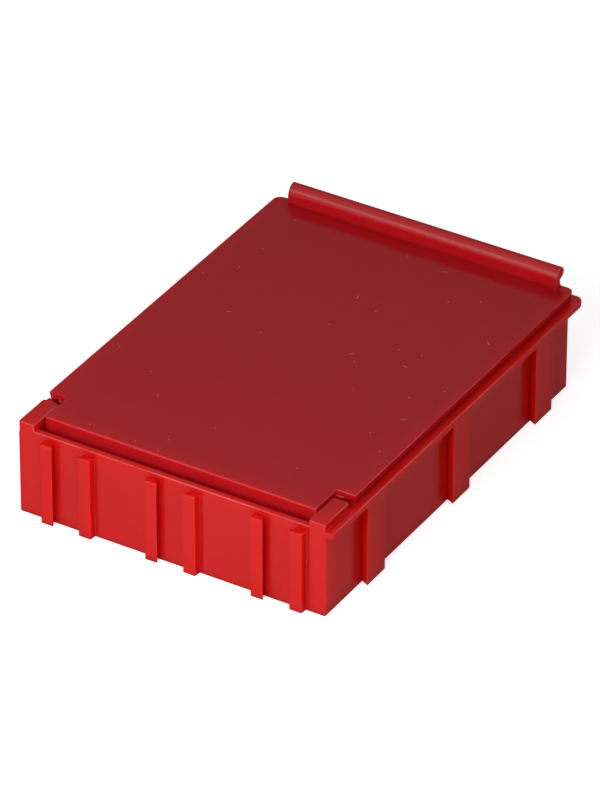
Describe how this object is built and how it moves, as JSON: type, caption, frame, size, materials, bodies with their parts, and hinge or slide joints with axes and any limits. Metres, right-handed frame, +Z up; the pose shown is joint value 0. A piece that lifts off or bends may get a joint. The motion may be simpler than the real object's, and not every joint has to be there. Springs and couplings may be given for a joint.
{
  "type": "component storage box",
  "caption": "Flat moulded plastic box for small electronic components, with a hinged snap lid and dovetail ribs and tongues that lock it to boxes beside and behind it.",
  "frame": {"origin": "middle of the tray's flat underside, taken over the walls without ribs, rail and flange", "axes": "+X along the hinge line, towards the side with the rail; +Y from the hinge end to the end with the finger lip; +Z up, out of the open tray"},
  "size_m": [0.0812, 0.1112, 0.0284],
  "materials": {
    "red_plastic": "smooth moulded, satin gloss",
    "spring_steel": "bright rolled strip"
  },
  "bodies": {
    "base": {"base_tray": "red_plastic", "lid_spring_left": "spring_steel", "lid_spring_right": "spring_steel"},
    "lid": {"lid": "red_plastic"}
  },
  "joints": [
    {"name": "lid_hinge", "type": "hinge", "parent": "base", "child": "lid", "pos_m": [0, -0.0464, 0.0202], "axis": [1, 0, 0], "range_deg": [0, 105]}
  ]
}
